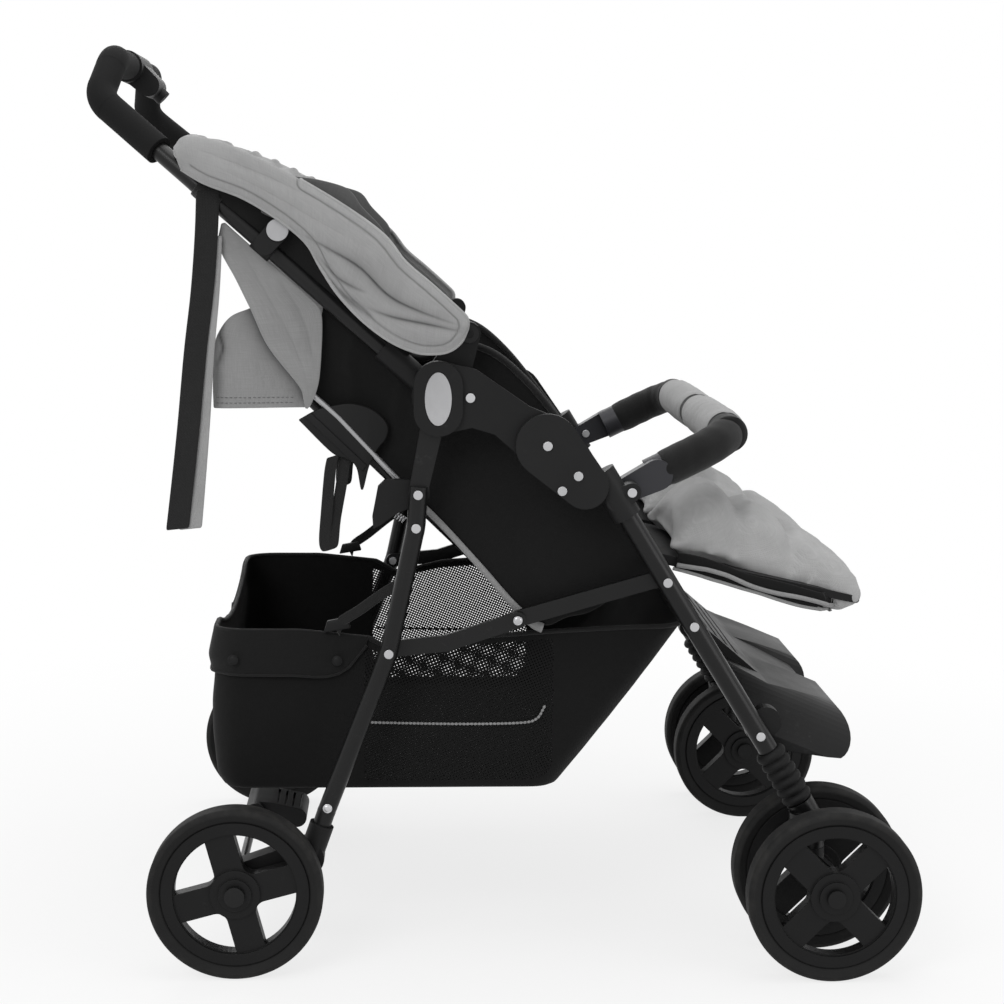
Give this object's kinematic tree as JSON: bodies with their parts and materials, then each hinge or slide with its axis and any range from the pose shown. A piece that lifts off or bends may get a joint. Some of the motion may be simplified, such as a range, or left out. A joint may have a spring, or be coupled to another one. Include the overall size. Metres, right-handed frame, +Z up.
{
  "type": "twin pram",
  "caption": "Side-by-side two-seat pram on a folding tube frame, with reclining seats, tilting leg rests, wide canopy, bumper bar, under-seat basket, swivel front wheels and foot brake.",
  "frame": {"origin": "centre of the footprint on the floor", "axes": "+X forwards, +Y to the left of the person pushing, +Z up"},
  "size_m": [0.9048, 0.72, 1.004],
  "materials": {
    "frame_paint": "satin black powder coat",
    "black_plastic": "fine matt texture",
    "grip_foam": "matt foam",
    "badge_plastic": "plain light grey",
    "rivet_steel": "satin",
    "axle_steel": "satin",
    "black_cloth": "tight weave",
    "grey_cloth": "heather weave",
    "seat_cloth": "quilted weave",
    "tyre_rubber": "matt tread",
    "bellows_rubber": "satin",
    "webbing": "woven strap"
  },
  "bodies": {
    "chassis": {"front_leg_right": "frame_paint", "front_leg_left": "frame_paint", "armrest_right": "black_plastic", "armrest_left": "black_plastic", "leg_cap_right": "black_plastic", "leg_cap_left": "black_plastic", "hub_badges": "badge_plastic", "frame_pins": "rivet_steel", "footrest": "black_plastic", "seat_front_tube": "frame_paint", "basket_tube": "frame_paint", "seat_frame": "frame_paint", "seat_boards": "black_plastic", "seat_pad_right": "seat_cloth", "seat_pad_left": "seat_cloth", "side_panel_right": "black_cloth", "side_panel_left": "black_cloth", "basket": "black_cloth"},
    "handle_frame": {"handle_tube": "frame_paint", "handle_knuckles": "black_plastic", "handle_grips": "grip_foam", "release_housing": "black_plastic", "rear_curtain": "grey_cloth", "hand_strap": "webbing", "canopy_clips": "black_plastic", "clip_buttons": "badge_plastic", "canopy_cover": "grey_cloth"},
    "release": {"release_button": "black_plastic"},
    "canopy": {"canopy_bow": "frame_paint"},
    "rear_frame": {"rear_leg_right": "frame_paint", "rear_leg_left": "frame_paint", "wheel_brackets": "black_plastic", "rear_axle": "axle_steel", "rear_pins": "rivet_steel"},
    "brake": {"brake_pedal": "black_plastic"},
    "hooks": {"fold_hooks": "black_plastic"},
    "rear_link": {"rear_links": "frame_paint"},
    "front_link": {"front_links": "frame_paint"},
    "bumper": {"bumper_bar": "frame_paint", "bumper_sleeves": "grey_cloth"},
    "backrest_right": {"back_frame_right": "frame_paint", "back_pad_right": "seat_cloth"},
    "legrest_right": {"leg_board_right": "black_plastic", "leg_cover_right": "grey_cloth"},
    "suspension_right": {"strut_right": "black_plastic", "bellows_right": "bellows_rubber"},
    "swivel_right": {"caster_right": "black_plastic"},
    "backrest_left": {"back_frame_left": "frame_paint", "back_pad_left": "seat_cloth"},
    "legrest_left": {"leg_board_left": "black_plastic", "leg_cover_left": "grey_cloth"},
    "suspension_left": {"strut_left": "black_plastic", "bellows_left": "bellows_rubber"},
    "swivel_left": {"caster_left": "black_plastic"},
    "front_wheel_right_outer_spin": {"front_wheel_right_outer": "tyre_rubber"},
    "front_wheel_right_inner_spin": {"front_wheel_right_inner": "tyre_rubber"},
    "front_wheel_left_inner_spin": {"front_wheel_left_inner": "tyre_rubber"},
    "front_wheel_left_outer_spin": {"front_wheel_left_outer": "tyre_rubber"},
    "rear_wheel_right_spin": {"rear_wheel_right": "tyre_rubber"},
    "rear_wheel_left_spin": {"rear_wheel_left": "tyre_rubber"}
  },
  "joints": [
    {"name": "handle_fold", "type": "hinge", "parent": "chassis", "child": "handle_frame", "pos_m": [-0.07361, 0, 0.629], "axis": [0, 1, 0], "range_deg": [0, 100]},
    {"name": "rear_leg_fold", "type": "hinge", "parent": "chassis", "child": "rear_frame", "pos_m": [-0.07361, 0, 0.629], "axis": [0, 1, 0], "range_deg": [-38, 0.5]},
    {"name": "rear_link_turn", "type": "hinge", "parent": "rear_frame", "child": "rear_link", "pos_m": [-0.1256, 0, 0.353], "axis": [0, 1, 0], "range_deg": [-0.5, 101.95]},
    {"name": "front_link_turn", "type": "hinge", "parent": "chassis", "child": "front_link", "pos_m": [0.17442, 0, 0.43119], "axis": [0, 1, 0], "range_deg": [-63.53, 0.5]},
    {"name": "canopy_fold", "type": "hinge", "parent": "handle_frame", "child": "canopy", "pos_m": [-0.04061, 0, 0.697], "axis": [0, -1, 0], "range_deg": [-80, 0], "deforming": ["canopy_cover"]},
    {"name": "bumper_swing", "type": "hinge", "parent": "chassis", "child": "bumper", "pos_m": [0.13391, 0, 0.52937], "axis": [0, 1, 0], "range_deg": [-65, 0]},
    {"name": "release_press", "type": "slide", "parent": "handle_frame", "child": "release", "axis": [-0.7071, 0, 0.7071], "range_m": [0, 0.006], "stiffness_N_per_m": 300},
    {"name": "brake_press", "type": "hinge", "parent": "rear_frame", "child": "brake", "pos_m": [-0.29061, 0, 0.095], "axis": [0, 1, 0], "range_deg": [0, 20]},
    {"name": "hook_release", "type": "hinge", "parent": "rear_frame", "child": "hooks", "pos_m": [-0.0946, 0, 0.526], "axis": [0, 1, 0], "range_deg": [0, 18], "stiffness_Nm_per_rad": 1.5, "springref_deg": -11.46},
    {"name": "recline_right", "type": "hinge", "parent": "chassis", "child": "backrest_right", "pos_m": [0.0214, 0, 0.392], "axis": [0, 1, 0], "range_deg": [0, 25]},
    {"name": "legrest_tilt_right", "type": "hinge", "parent": "chassis", "child": "legrest_right", "pos_m": [0.16285, 0, 0.4499], "axis": [0, 1, 0], "range_deg": [0, 20]},
    {"name": "suspension_right_slide", "type": "slide", "parent": "chassis", "child": "suspension_right", "axis": [-0.5261, 0, 0.8504], "range_m": [0, 0.012], "stiffness_N_per_m": 9000, "springref_m": -0.012, "deforming": ["bellows_right"]},
    {"name": "swivel_right_turn", "type": "hinge", "parent": "suspension_right", "child": "swivel_right", "pos_m": [0.33539, -0.292, 0.15], "axis": [0, 0, 1], "continuous": true},
    {"name": "recline_left", "type": "hinge", "parent": "chassis", "child": "backrest_left", "pos_m": [0.0214, 0, 0.392], "axis": [0, 1, 0], "range_deg": [0, 25]},
    {"name": "legrest_tilt_left", "type": "hinge", "parent": "chassis", "child": "legrest_left", "pos_m": [0.16285, 0, 0.4499], "axis": [0, 1, 0], "range_deg": [0, 20]},
    {"name": "suspension_left_slide", "type": "slide", "parent": "chassis", "child": "suspension_left", "axis": [-0.5261, 0, 0.8504], "range_m": [0, 0.012], "stiffness_N_per_m": 9000, "springref_m": -0.012, "deforming": ["bellows_left"]},
    {"name": "swivel_left_turn", "type": "hinge", "parent": "suspension_left", "child": "swivel_left", "pos_m": [0.33539, 0.292, 0.15], "axis": [0, 0, 1], "continuous": true},
    {"name": "front_wheel_right_outer_roll", "type": "hinge", "parent": "swivel_right", "child": "front_wheel_right_outer_spin", "pos_m": [0.3574, -0.341, 0.095], "axis": [0, 1, 0], "continuous": true},
    {"name": "front_wheel_right_inner_roll", "type": "hinge", "parent": "swivel_right", "child": "front_wheel_right_inner_spin", "pos_m": [0.3574, -0.243, 0.095], "axis": [0, 1, 0], "continuous": true},
    {"name": "front_wheel_left_inner_roll", "type": "hinge", "parent": "swivel_left", "child": "front_wheel_left_inner_spin", "pos_m": [0.3574, 0.243, 0.095], "axis": [0, 1, 0], "continuous": true},
    {"name": "front_wheel_left_outer_roll", "type": "hinge", "parent": "swivel_left", "child": "front_wheel_left_outer_spin", "pos_m": [0.3574, 0.341, 0.095], "axis": [0, 1, 0], "continuous": true},
    {"name": "rear_wheel_right_roll", "type": "hinge", "parent": "rear_frame", "child": "rear_wheel_right_spin", "pos_m": [-0.29061, -0.318, 0.095], "axis": [0, 1, 0], "continuous": true},
    {"name": "rear_wheel_left_roll", "type": "hinge", "parent": "rear_frame", "child": "rear_wheel_left_spin", "pos_m": [-0.29061, 0.318, 0.095], "axis": [0, 1, 0], "continuous": true}
  ],
  "couplings": [
    {"joint": "rear_leg_fold", "follows": "handle_fold", "ratio": -0.375},
    {"joint": "rear_link_turn", "follows": "handle_fold", "ratio": 1.0145},
    {"joint": "front_link_turn", "follows": "handle_fold", "ratio": -0.6303}
  ]
}
